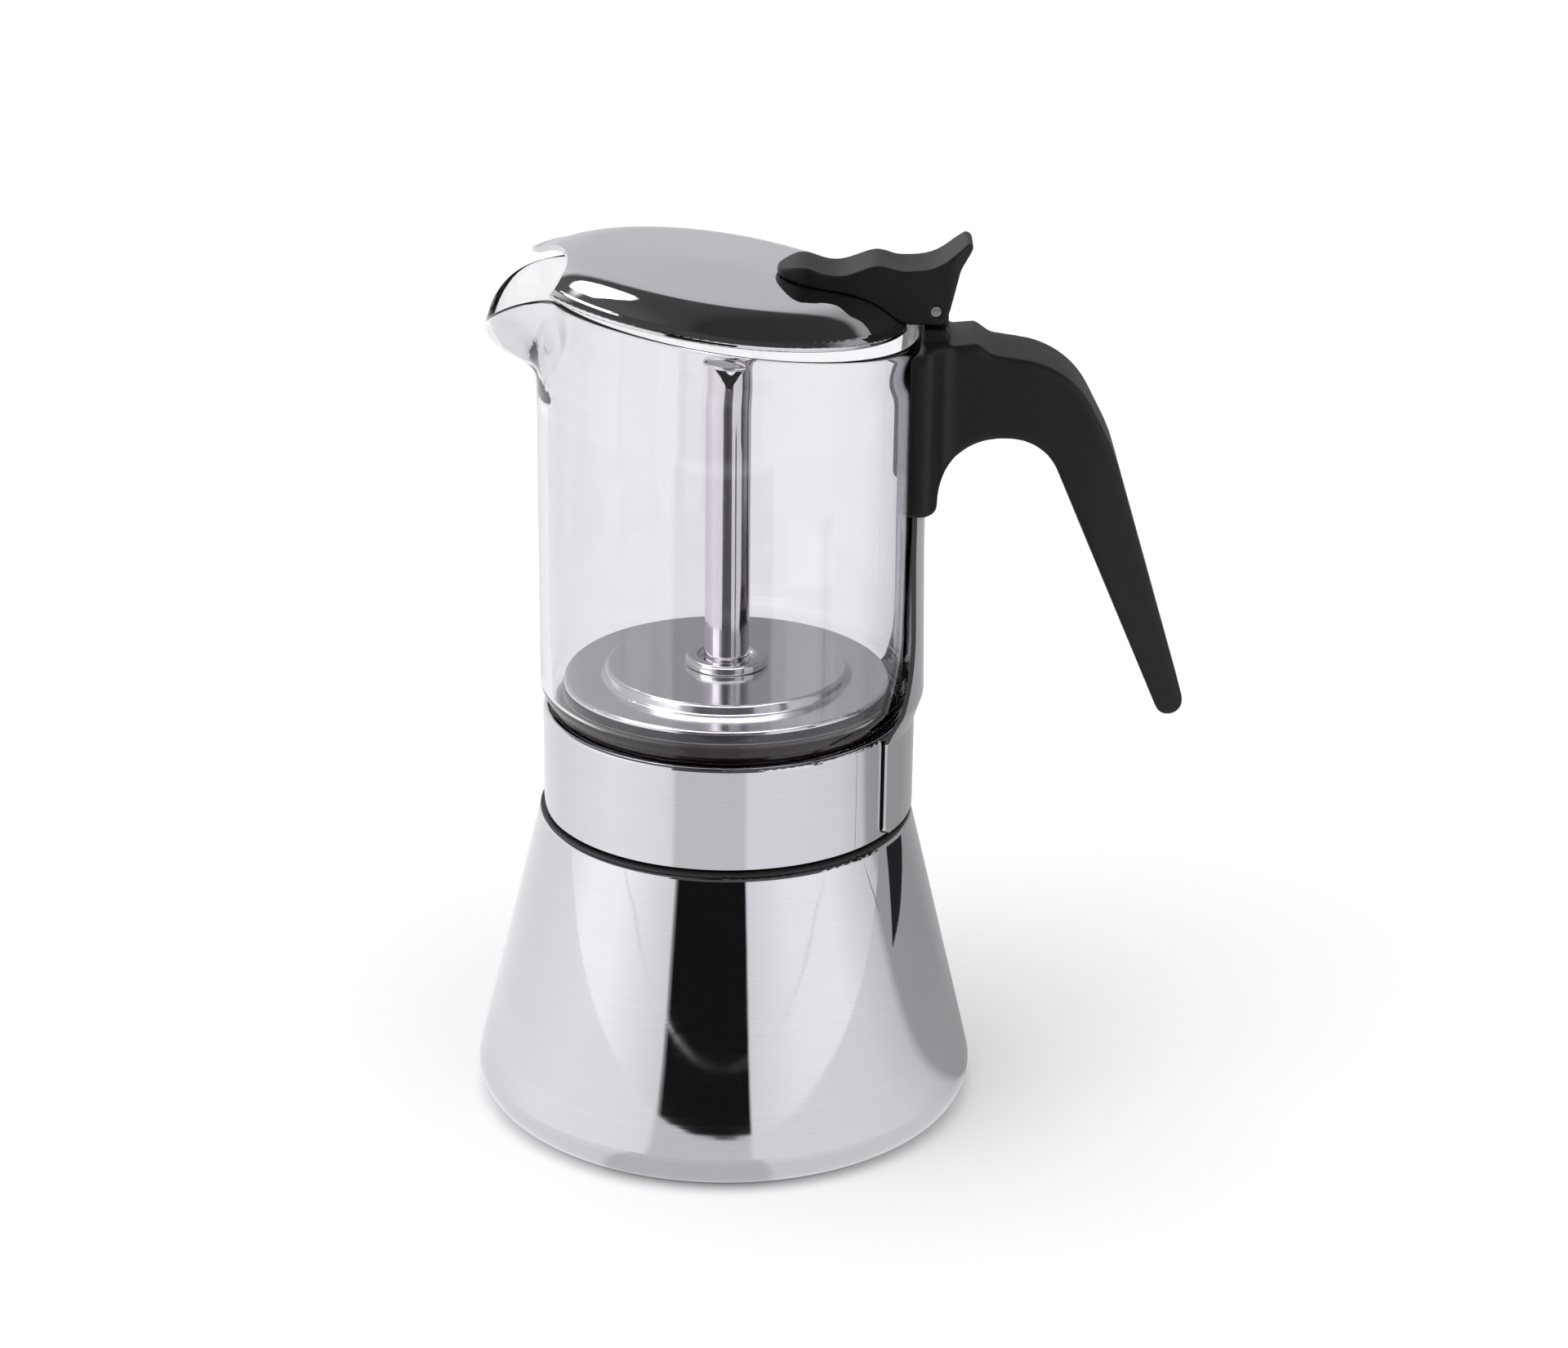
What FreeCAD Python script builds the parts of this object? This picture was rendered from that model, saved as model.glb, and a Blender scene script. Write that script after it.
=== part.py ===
import FreeCAD, Part
import math
import os

# Stovetop moka pot: a steel boiler, a steel collar that screws onto it, a glass jug clamped in the collar,
# a black handle held by a steel strap, and a hinged steel lid. Millimetres, +Z up, origin at the centre of
# the flat underside. The handle points along +X and the spout along -X.

Vec = FreeCAD.Vector
AXIS_X = Vec(1, 0, 0)
AXIS_Y = Vec(0, 1, 0)
AXIS_Z = Vec(0, 0, 1)
ORIGIN = Vec(0, 0, 0)
OUT = "parts"

# ---- driving dimensions ----
CLEAR = 0.1                      # gap between pieces that rest on or fit round each other

# boiler
BASE_R = 52.97                   # where the cone's side would meet the floor
CONE_SLOPE = 0.2408              # radius lost per millimetre of height
BASE_CORNER_R = 6.0
BOILER_WALL = 1.2
FLOOR_T = 2.4
SHOULDER_Z = 62.2
NECK_R = 33.6                    # thread root on the neck
NECK_WALL = 1.2
NECK_TOP = 75.5
NECK_RING_T = 0.8
NECK_RING_R = 37.9

# screw thread between the neck and the collar
THREAD_PITCH = 3.0
THREAD_DEPTH = 1.0
THREAD_GAP = 0.3                 # crest to root, both ways
THREAD_TURNS = 1.25
THREAD_ROOT_HALF = 0.75
THREAD_CREST_HALF = 0.25
THREAD_START = 66.5
THREAD_BITE = 0.2                # how far a ridge is sunk into its wall

# coffee funnel and sieve
FUNNEL_R = 30.2
FUNNEL_WALL = 0.8
FUNNEL_RIM_R = 33.4
BASKET_FLOOR = 50.0
FUNNEL_THROAT = 42.0
STEM_R = 5.0
STEM_BOTTOM = 6.0
STEM_FIT = 0.05                  # radial clearance of the stem in the funnel's socket
SOCKET_BOTTOM = 37.0
SIEVE_T = 0.6
HOLE_R = 0.8
HOLE_PITCH = 4.6

# gasket and filter plate
GASKET_IN_R = 24.0
GASKET_STEP_R = 27.0
GASKET_OUT_R = 32.8
GASKET_LIP_T = 1.3
GASKET_T = 2.6

# collar and jug floor
COLLAR_R = 37.1
COLLAR_WALL = 1.0
COLLAR_Z0 = 63.3
COLLAR_Z1 = 84.9
DECK_T = 1.2

# glass jug
GLASS_R = 37.6
GLASS_WALL = 2.0
GLASS_FOOT_R = 35.6
GLASS_HOLE_R = 26.5
SEAL_T = 1.6
UPPER_SEAL_T = 6.0
FOOT_T = 2.2
RIM_Z = 167.75                   # rim height on the pot's axis
RIM_SLOPE = 0.138                # the rim rises towards the spout
SPOUT_START_X = -33.0            # the spout's lip starts to fall away here
LIP_SHOULDER = (-45.8, 169.8)    # the lip's side view turns down at this corner
LIP_SHOULDER_R = 11.0
LIP_FRONT = (-49.4, 155.0)
BEAK_BACK_X = -24.0
# level sections of the spout: height, reach from the axis, half-width, corner rounding
BEAK_SECTIONS = (
    (151.0, 35.5, 5.0, 3.5),
    (155.4, 37.3, 8.5, 6.0),
    (157.5, 40.2, 11.5, 8.0),
    (160.3, 45.0, 14.5, 9.5),
    (163.0, 47.3, 16.0, 10.0),
    (166.5, 47.5, 16.6, 10.3),
    (171.0, 47.6, 17.0, 10.5),
    (176.0, 47.6, 17.0, 10.5),
)

# clamp plate and coffee column
PLATE_R = 33.0
PLATE_STEP_R = 25.0
PLATE_TOP = 91.3
PLATE_STEP_H = 2.0
SHEET = 0.8
TUBE_R = 4.5
TUBE_BORE_R = 3.8
TUBE_LIP_R = 5.4
TUBE_LIP_Z = 154.2
TUBE_TOP = 155.2
MOUTH_R = 3.0
VEE_TOP = 153.7
VEE_BOTTOM = 149.3
VEE_HALF = 3.0
NUT_R = 8.4
NUT_T = 1.8

# strap from the collar up into the handle
STRAP_T = 0.9
STRAP_LOW_R = COLLAR_R + CLEAR
STRAP_HIGH_R = 38.3
STRAP_Z0 = 64.2
STRAP_Z1 = 157.5
STRAP_WIDE = 20.0
STRAP_NARROW = 12.0
STRAP_BULGE_R = 39.0             # inner radius just above the bend
STRAP_BEND = (83.3, 88.8)        # heights between which it steps out
STRAP_TAPER = (85.0, 98.0)       # heights between which it narrows

# handle
HANDLE_HALF = 9.7
PAD_HALF = 14.6
TIP_HALF = 7.9
HANDLE_FACE_R = 37.95
POCKET_GAP = 0.15                # round the strap where the handle holds it
ARCH_X = 53.3
ARCH_Z = 131.4
ARCH_R = 12.3
GRIP_EDGE_R = 0.8

# hinge
PIN_X = 40.0
PIN_Z = 168.5
PIN_R = 1.0
PIN_RUN = 0.06                   # radial running clearance in the lid's cheeks
KNOB_HALF = 7.2
KNOB_FRONT = 9.3
KNOB_TAIL = 47.2
KNOB_TAIL_R = 4.6
TONGUE_HALF = 3.9
TONGUE_R = 2.6
TONGUE_GAP = 0.35
POST_TOP = 164.7

# lid
LID_R = 38.3
LID_X = -2.65                    # the lid's centre, a little towards the spout
LID_Z = 169.7                    # underside of the flange at the lid's centre
LID_TILT = 7.8                   # degrees, low at the hinge
LID_RISE = 6.3
LID_FLANGE_R = 36.4              # the narrow sloping flange starts here
LID_DOME_R = 30.5                # the dome turns down here
LID_CROWN = 1.2                  # how much the dome's top rises from its shoulder to its centre
LID_SHOULDER_R = 19.0
LID_EDGE_T = 1.0
LID_FLANGE_DROP = 0.5            # the flange falls by this much to its edge
NOTCH_DEPTH = 29.8               # from the lid's centre to the notch
NOTCH_R = 33.0
NOTCH_TURN = 10.0                # degrees, the notch sits a little to the right of the spout
LID_HINGE_X = 37.2               # the lid's rim stops here, clear of the hinge post

# safety valve; heights are measured outwards from the boiler's wall
VALVE_Z = 44.0                   # height of its axis at the wall
HEX_FLATS = 11.0
VALVE_SHANK_R = 3.9
VALVE_BORE_R = 2.5
VALVE_BOSS_R = 4.6
VALVE_SEAT_R = 1.2
VALVE_HEAD_R = 2.2
VALVE_STEM_R = 1.0
VALVE_FIT = 0.05                 # radial clearance of the stem and of the nut
VALVE_INNER_END = -6.0
VALVE_SEAT_Z = -4.8
VALVE_HEAD_T = 1.4
VALVE_HEX_Z0 = 0.9
VALVE_HEX_Z1 = 3.8
VALVE_CAP_Z = 6.0
VALVE_OUTER_END = 7.0
VALVE_STEM_END = 8.6
VALVE_SEAL_R = 6.0
VALVE_NUT_TOP = -1.85
SPRING_R = 1.75
SPRING_WIRE_R = 0.25
SPRING_TURNS = 6
SPRING_Z0 = -3.05
SPRING_LENGTH = 8.7

# screws
SCREW_R = 1.5
SCREW_HEAD_R = 2.6
HANDLE_SCREW_Z = (147.5, 153.5)
HANDLE_SCREW_END = 50.0
SCREW_HEAD_T = 1.4
LID_SCREW_X = (17.0, 26.5)       # in the lid's own frame
LID_SCREW_DROP = (1.1, 1.9)      # from the flat sheet's underside to the top of each head
LID_SCREW_END = 7.6


# ---- outlines: (x, z, rounding) or (x, y, rounding) corners ----
# handle from the side: down the pad, round the arch, down the grip and back over the top
HANDLE_SIDE = [
    (30.0, 128.9),
    (ARCH_X - ARCH_R + 0.1, 128.9, 1.6),
    (ARCH_X - ARCH_R + 0.1, ARCH_Z + ARCH_R, ARCH_R),
    (ARCH_X + 8.4, ARCH_Z + ARCH_R, ARCH_R * 0.85),
    (86.9, 86.3, 2.4),
    (92.5, 86.3, 2.8),
    (75.3, 141.5, 30.0),
    (66.5, 158.2, 18.0),
    (51.2, 160.4, 2.5),
    (48.2, 162.6, 1.2),
    (42.8, 162.0, 0.8),
    (42.8, POST_TOP, 0.6),
    (37.4, POST_TOP, 0.6),
    (37.4, 161.2, 0.4),
    (30.0, 161.2),
]
# one side of the handle from above: wide where it meets the jug, slim at the tip
HANDLE_PLAN = [
    (30.0, PAD_HALF),
    (39.0, PAD_HALF, 2.0),
    (42.5, HANDLE_HALF, 3.0),
    (72.0, HANDLE_HALF, 20.0),
    (95.0, TIP_HALF),
]
# side view of the knob: its underside at the hinge, its back, then its top with two thumb dips
KNOB_SIDE = [
    (9.0, 168.0),
    (30.0, 165.7),
    (41.6, 165.7, 1.6),
    (42.7, 168.6, 6.0),
    (44.6, 176.7, 6.0),
    (47.2, 180.6, 0.8),
    (46.0, 181.6, 0.8),
    (39.8, 176.6, 10.0),
    (33.0, 176.1, 8.0),
    (28.5, 177.5, 5.5),
    (20.6, 174.5, 9.0),
    (14.2, 176.8, 5.0),
    (9.0, 175.3),
]


# ---- helpers ----
def rounded_wire(points, place):
    """Closed wire through (u, v, radius) corners, each rounded by its radius; place maps (u, v) to 3-D."""
    count = len(points)
    edges = []
    last = None
    first = None
    for i in range(count):
        here = Vec(points[i][0], points[i][1], 0)
        before = Vec(points[i - 1][0], points[i - 1][1], 0)
        after = Vec(points[(i + 1) % count][0], points[(i + 1) % count][1], 0)
        radius = points[i][2] if len(points[i]) > 2 else 0
        back = (before - here).normalize()
        ahead = (after - here).normalize()
        if radius > 0:
            half = back.getAngle(ahead) / 2
            reach = radius / math.tan(half)
            start = here + back * reach
            end = here + ahead * reach
            bisector = (back + ahead).normalize()
            middle = here + bisector * (radius / math.sin(half) - radius)
        else:
            start = here
            end = here
        if last is not None and (start - last).Length > 1e-6:
            edges.append(Part.LineSegment(place(last), place(start)).toShape())
        if radius > 0:
            edges.append(Part.Arc(place(start), place(middle), place(end)).toShape())
        if first is None:
            first = start
        last = end
    if (first - last).Length > 1e-6:
        edges.append(Part.LineSegment(place(last), place(first)).toShape())
    return Part.Wire(edges)


def in_xz(p):
    return Vec(p.x, 0, p.y)


def in_xy(z):
    return lambda p: Vec(p.x, p.y, z)


def in_yz(x):
    return lambda p: Vec(x, p.x, p.y)


def revolved(points):
    """Solid of revolution about Z from (r, z, rounding) corners."""
    return Part.Face(rounded_wire(points, in_xz)).revolve(ORIGIN, AXIS_Z, 360)


def side_prism(points, half):
    """Prism with an (x, z) outline, from y = -half to y = half."""
    face = Part.Face(rounded_wire(points, in_xz))
    face.translate(Vec(0, -half, 0))
    return face.extrude(Vec(0, 2 * half, 0))


def plan_prism(points, z0, z1):
    """Prism with an (x, y) outline, from z0 to z1."""
    return Part.Face(rounded_wire(points, in_xy(z0))).extrude(Vec(0, 0, z1 - z0))


def ring(r_in, r_out, z0, z1, rounding=0):
    corners = [(r_in, z0), (r_out, z0), (r_out, z1), (r_in, z1)]
    return revolved([(r, z, rounding) for r, z in corners])


def rod(radius, start, end):
    return Part.makeCylinder(radius, (end - start).Length, start, end - start)


def hexagon(flats, z0, z1):
    corner = flats / math.sqrt(3)
    turns = [math.radians(60 * i) for i in range(6)]
    return plan_prism([(corner * math.cos(a), corner * math.sin(a)) for a in turns], z0, z1)


def helix_solid(profile, pitch, height, radius):
    """Sweeps a profile wire along a helix about Z that starts at z = 0."""
    path = Part.makeHelix(pitch, height, radius)
    solid = Part.Wire(path.Edges).makePipeShell([profile], True, True)
    return solid


def perforations(reach, z0, z1):
    """Drills for a sieve: a centre hole and rings of six more holes each."""
    drills = [Part.makeCylinder(HOLE_R, z1 - z0, Vec(0, 0, z0))]
    for k in range(1, int(reach / HOLE_PITCH) + 1):
        for i in range(6 * k):
            turn = 2 * math.pi * i / (6 * k)
            spot = Vec(k * HOLE_PITCH * math.cos(turn), k * HOLE_PITCH * math.sin(turn), z0)
            drills.append(Part.makeCylinder(HOLE_R, z1 - z0, spot))
    return Part.makeCompound(drills)


def cone_r(z):
    return BASE_R - CONE_SLOPE * z


def rim_cut():
    """Everything above the slanted rim, with the spout's lip curving down and outwards."""
    far = 80.0
    top = 220.0
    outline = [
        (far, RIM_Z - RIM_SLOPE * far),
        (far, top),
        (-far, top),
        (-far, LIP_FRONT[1]),
        LIP_FRONT,
        (*LIP_SHOULDER, LIP_SHOULDER_R),
        (SPOUT_START_X, RIM_Z - RIM_SLOPE * SPOUT_START_X),
    ]
    return side_prism(outline, far)


def place_lid(shape):
    """Moves a shape from the lid's own frame (flat, about Z) to its tilted place on the jug."""
    placed = shape.copy()
    placed.rotate(ORIGIN, AXIS_Y, LID_TILT)
    placed.translate(Vec(LID_X, 0, LID_Z))
    return placed


def place_valve(shape):
    """Moves a shape built along +Z to the valve's place, square to the boiler's wall on the +Y side."""
    lean = math.degrees(math.atan(CONE_SLOPE))
    placed = shape.copy()
    placed.rotate(ORIGIN, AXIS_X, -90 + lean)
    placed.translate(Vec(0, cone_r(VALVE_Z), VALVE_Z))
    return placed


# ---- boiler ----
def thread_ridge(root_r, crest_r, z_centre):
    """Helical ridge from root_r to crest_r; the root is sunk a little into its wall."""
    bite = THREAD_BITE if root_r > crest_r else -THREAD_BITE
    points = [
        (root_r + bite, -THREAD_ROOT_HALF),
        (crest_r, -THREAD_CREST_HALF),
        (crest_r, THREAD_CREST_HALF),
        (root_r + bite, THREAD_ROOT_HALF),
    ]
    ridge = helix_solid(rounded_wire(points, in_xz), THREAD_PITCH, THREAD_PITCH * THREAD_TURNS, root_r)
    ridge.translate(Vec(0, 0, z_centre))
    return ridge


def boiler_shell():
    wall_r = BOILER_WALL / math.cos(math.atan(CONE_SLOPE))
    under = SHOULDER_Z - BOILER_WALL
    shell = revolved([
        (0, 0),
        (BASE_R, 0, BASE_CORNER_R),
        (cone_r(SHOULDER_Z), SHOULDER_Z, 0.9),
        (NECK_R, SHOULDER_Z, 0.3),
        (NECK_R, NECK_TOP, 0.4),
        (NECK_R - NECK_WALL, NECK_TOP, 0.4),
        (NECK_R - NECK_WALL, under, 0.8),
        (cone_r(under) - wall_r, under, 0.6),
        (cone_r(FLOOR_T) - wall_r, FLOOR_T, BASE_CORNER_R - BOILER_WALL),
        (0, FLOOR_T),
    ])
    shell = shell.fuse(thread_ridge(NECK_R, NECK_R + THREAD_DEPTH, THREAD_START))
    valve_hole = Part.makeCylinder(VALVE_SHANK_R + CLEAR, 8, Vec(0, 0, -5))
    return shell.cut(place_valve(valve_hole))


def neck_ring():
    z0 = SHOULDER_Z + 0.02
    return ring(NECK_R + CLEAR, NECK_RING_R, z0, z0 + NECK_RING_T, 0.3)


def funnel():
    rim_z = NECK_TOP + CLEAR
    inner = FUNNEL_R - FUNNEL_WALL
    socket = STEM_R + STEM_FIT
    return revolved([
        (FUNNEL_RIM_R, rim_z, 0.3),
        (FUNNEL_RIM_R, rim_z + FUNNEL_WALL, 0.3),
        (inner, rim_z + FUNNEL_WALL, 0.9),
        (inner, BASKET_FLOOR + 0.4, 0.5),
        (socket, FUNNEL_THROAT + 0.4, 1.0),
        (socket, SOCKET_BOTTOM, 0.1),
        (socket + FUNNEL_WALL, SOCKET_BOTTOM, 0.2),
        (socket + FUNNEL_WALL, FUNNEL_THROAT, 1.5),
        (FUNNEL_R, BASKET_FLOOR, 1.2),
        (FUNNEL_R, rim_z, 0.3),
    ])


def funnel_stem():
    return ring(STEM_R - FUNNEL_WALL, STEM_R, STEM_BOTTOM, FUNNEL_THROAT, 0.1)


def funnel_sieve():
    z0 = BASKET_FLOOR + 0.7
    reach = FUNNEL_R - FUNNEL_WALL - CLEAR
    return ring(0, reach, z0, z0 + SIEVE_T).cut(perforations(reach - 4, z0 - 1, z0 + 2))


# ---- safety valve, built along +Z with z = 0 on the boiler's outer wall ----
def valve_seal():
    return place_valve(ring(VALVE_SHANK_R + CLEAR, VALVE_SEAL_R, VALVE_FIT, VALVE_HEX_Z0 - VALVE_FIT, 0.2))


def valve_body():
    flange = hexagon(HEX_FLATS, VALVE_HEX_Z0, VALVE_HEX_Z1)
    boss = ring(0, VALVE_BOSS_R, VALVE_HEX_Z1 - 0.1, VALVE_OUTER_END)
    shank = ring(0, VALVE_SHANK_R, VALVE_INNER_END, VALVE_HEX_Z0 + 0.1)
    bore = ring(0, VALVE_BORE_R, VALVE_SEAT_Z, VALVE_CAP_Z)
    seat = ring(0, VALVE_SEAT_R, VALVE_INNER_END - 1, VALVE_SEAT_Z + 1)
    guide = ring(0, VALVE_STEM_R + VALVE_FIT, VALVE_CAP_Z - 1, VALVE_OUTER_END + 1)
    body = flange.fuse([boss, shank]).cut(bore).cut(seat).cut(guide)
    return place_valve(body.removeSplitter())


def valve_nut():
    thread_hole = ring(0, VALVE_SHANK_R + VALVE_FIT, VALVE_INNER_END, 0)
    return place_valve(hexagon(HEX_FLATS, VALVE_SEAT_Z, VALVE_NUT_TOP).cut(thread_hole))


def valve_plunger():
    head_z0 = VALVE_SEAT_Z + VALVE_FIT
    head_z1 = head_z0 + VALVE_HEAD_T
    plunger = revolved([
        (0, head_z0),
        (VALVE_HEAD_R, head_z0, 0.2),
        (VALVE_HEAD_R, head_z1, 0.2),
        (VALVE_STEM_R, head_z1),
        (VALVE_STEM_R, VALVE_STEM_END, 0.4),
        (0, VALVE_STEM_END),
    ])
    return place_valve(plunger)


def valve_spring():
    wire = Part.Wire(Part.Circle(Vec(SPRING_R, 0, 0), AXIS_Y, SPRING_WIRE_R).toShape())
    spring = helix_solid(wire, SPRING_LENGTH / SPRING_TURNS, SPRING_LENGTH, SPRING_R)
    spring.translate(Vec(0, 0, SPRING_Z0))
    return place_valve(spring)


# ---- gasket and filter, which rise with the collar ----
def gasket_z():
    return NECK_TOP + CLEAR + FUNNEL_WALL + CLEAR


def gasket():
    z0 = gasket_z()
    return revolved([
        (GASKET_IN_R, z0, 0.3),
        (GASKET_OUT_R, z0, 0.4),
        (GASKET_OUT_R, z0 + GASKET_T, 0.4),
        (GASKET_STEP_R, z0 + GASKET_T),
        (GASKET_STEP_R, z0 + GASKET_LIP_T),
        (GASKET_IN_R, z0 + GASKET_LIP_T, 0.3),
    ])


def filter_plate():
    z0 = gasket_z() + GASKET_LIP_T + 0.05
    reach = GASKET_STEP_R - CLEAR
    return ring(0, reach, z0, z0 + SIEVE_T).cut(perforations(reach - 4, z0 - 1, z0 + 2))


# ---- collar, jug floor and glass ----
def deck_z():
    return gasket_z() + GASKET_T + CLEAR


def collar():
    inner = COLLAR_R - COLLAR_WALL
    root = NECK_R + THREAD_DEPTH + THREAD_GAP
    band = revolved([
        (COLLAR_R, COLLAR_Z0, 0.4),
        (COLLAR_R, COLLAR_Z1, 0.8),
        (inner, COLLAR_Z1, 0.15),
        (inner, NECK_TOP + 1.2, 0.4),
        (root, NECK_TOP + 0.2),
        (root, COLLAR_Z0, 0.4),
    ])
    ridge = thread_ridge(root, NECK_R + THREAD_GAP, THREAD_START - THREAD_PITCH / 2)
    return band.fuse(ridge)


def deck():
    z0 = deck_z()
    return ring(TUBE_R + 0.05, COLLAR_R - COLLAR_WALL - 0.05, z0, z0 + DECK_T, 0.3)


def foot_z():
    return deck_z() + DECK_T + SEAL_T + 2 * CLEAR


def glass_seal_lower():
    z0 = deck_z() + DECK_T + CLEAR / 2
    return ring(GLASS_HOLE_R + 0.5, GLASS_FOOT_R - 0.4, z0, z0 + SEAL_T, 0.4)


def beak(grow):
    """Spout body as a loft of level blunt-nosed sections; grow is 0 outside and negative inside."""
    wires = []
    for z, nose, half, rounding in BEAK_SECTIONS:
        tip = -(nose + grow)
        side = half + grow
        radius = rounding + grow
        outline = [(BEAK_BACK_X, -side), (tip, -side, radius), (tip, side, radius), (BEAK_BACK_X, side)]
        wires.append(rounded_wire(outline, in_xy(z)))
    return Part.makeLoft(wires, True, False)


def glass_jug():
    foot = foot_z()
    inner_r = GLASS_R - GLASS_WALL
    tall = 190.0
    outside = revolved([
        (0, foot),
        (GLASS_FOOT_R, foot, 1.0),
        (GLASS_FOOT_R, COLLAR_Z1 - 0.6, 3.0),
        (GLASS_R, COLLAR_Z1 + 5.0, 8.0),
        (GLASS_R, tall),
        (0, tall),
    ])
    inside = revolved([
        (0, foot + FOOT_T),
        (inner_r - 1.7, foot + FOOT_T, 2.0),
        (inner_r, COLLAR_Z1 + 5.0, 8.0),
        (inner_r, tall + 1),
        (0, tall + 1),
    ])
    drain = ring(0, GLASS_HOLE_R, foot - 1, foot + FOOT_T + 1)
    glass = outside.fuse(beak(0)).cut(inside.fuse(beak(-GLASS_WALL)))
    return glass.cut(drain).cut(rim_cut()).removeSplitter()


def glass_seal_upper():
    z0 = foot_z() + FOOT_T + CLEAR / 2
    return ring(GLASS_HOLE_R - 1, PLATE_R + 0.3, z0, z0 + UPPER_SEAL_T, 0.8)


def clamp_plate():
    z_rim = PLATE_TOP - SHEET
    step_top = PLATE_TOP + PLATE_STEP_H
    return revolved([
        (PLATE_R, z_rim),
        (PLATE_R, PLATE_TOP, 0.6),
        (PLATE_STEP_R, PLATE_TOP, 0.7),
        (PLATE_STEP_R - 0.7, step_top, 0.8),
        (TUBE_R + CLEAR, step_top),
        (TUBE_R + CLEAR, step_top - SHEET),
        (PLATE_STEP_R - 0.7 - SHEET, step_top - SHEET, 0.3),
        (PLATE_STEP_R - SHEET, z_rim, 0.9),
    ])


def column_tube():
    tube = revolved([
        (TUBE_BORE_R, deck_z()),
        (TUBE_R, deck_z()),
        (TUBE_R, TUBE_LIP_Z, 0.4),
        (TUBE_LIP_R, TUBE_LIP_Z, 0.3),
        (TUBE_LIP_R, TUBE_TOP, 0.45),
        (MOUTH_R, TUBE_TOP, 0.3),
        (MOUTH_R, TUBE_LIP_Z, 0.3),
        (TUBE_BORE_R, TUBE_LIP_Z - 0.8, 0.4),
    ])
    vee = side_prism([(-VEE_HALF, VEE_TOP), (0, VEE_BOTTOM, 0.5), (VEE_HALF, VEE_TOP)], 10)
    return tube.cut(vee)


def column_nut():
    z0 = PLATE_TOP + PLATE_STEP_H + 0.05
    return revolved([
        (TUBE_R + 0.15, z0),
        (NUT_R, z0, 0.3),
        (NUT_R, z0 + NUT_T, 0.85),
        (NUT_R - 2.6, z0 + NUT_T, 0.6),
        (TUBE_R + 0.9, z0 + 0.7, 0.3),
        (TUBE_R + 0.15, z0 + 0.7),
    ])


# ---- strap and handle ----
def strap_band(z0, z1):
    """Curved sheet: close on the collar, stepping out above it and leaning back to the jug's wall."""
    bend_low, bend_high = STRAP_BEND
    lean = STRAP_TAPER[1] + 22.0
    return revolved([
        (STRAP_LOW_R, z0),
        (STRAP_LOW_R + STRAP_T, z0),
        (STRAP_LOW_R + STRAP_T, bend_low, 2.5),
        (STRAP_BULGE_R + STRAP_T, bend_high, 4.0),
        (STRAP_HIGH_R + STRAP_T, lean, 60.0),
        (STRAP_HIGH_R + STRAP_T, z1),
        (STRAP_HIGH_R, z1),
        (STRAP_HIGH_R, lean, 60.0),
        (STRAP_BULGE_R, bend_high, 4.0),
        (STRAP_LOW_R, bend_low, 2.5),
    ])


def strap():
    taper_low, taper_high = STRAP_TAPER
    half = [
        (STRAP_NARROW, STRAP_Z1, 1.0),
        (STRAP_NARROW, taper_high, 24.0),
        (STRAP_WIDE, taper_low, 6.0),
        (STRAP_WIDE, STRAP_Z0, 1.6),
    ]
    mirrored = [(-y, z, radius) for y, z, radius in reversed(half)]
    front = Part.Face(rounded_wire(half + mirrored, in_yz(20))).extrude(Vec(40, 0, 0))
    sheet = strap_band(STRAP_Z0 - 1, STRAP_Z1 + 1)
    band = sheet.common(front)
    for z in HANDLE_SCREW_Z:
        band = band.cut(screw_sink(z, 0.05))
    return band


def screw_sink(z, grow):
    """Countersunk screw along X from the strap's inner face into the handle."""
    depth = 1.1
    face = Vec(STRAP_HIGH_R + 0.05, 0, z)
    cone = Part.makeCone(SCREW_HEAD_R + grow, SCREW_R + grow, depth, face, AXIS_X)
    shank = Part.makeCylinder(SCREW_R + grow, HANDLE_SCREW_END + grow - face.x, face, AXIS_X)
    return cone.fuse(shank)


def handle_screws():
    drive = 0.5
    screws = []
    for z in HANDLE_SCREW_Z:
        slot = Part.makeBox(drive, 3.6, 0.7, Vec(STRAP_HIGH_R, -1.8, z - 0.35))
        screws.append(screw_sink(z, 0).cut(slot))
    return Part.makeCompound(screws)


def flank_edges(grip):
    """Edges of the grip's two sides, behind the hinge post."""
    found = []
    for edge in grip.Edges:
        span = edge.LastParameter - edge.FirstParameter
        points = [edge.valueAt(edge.FirstParameter + span * share) for share in (0.02, 0.5, 0.98)]
        upright = points[0].sub(points[2]).cross(AXIS_Y).Length < 1e-6
        if not upright and all(abs(p.y) > TIP_HALF - 0.3 and p.x > PIN_X + TONGUE_R + 0.1 for p in points):
            found.append(edge)
    return found


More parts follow.
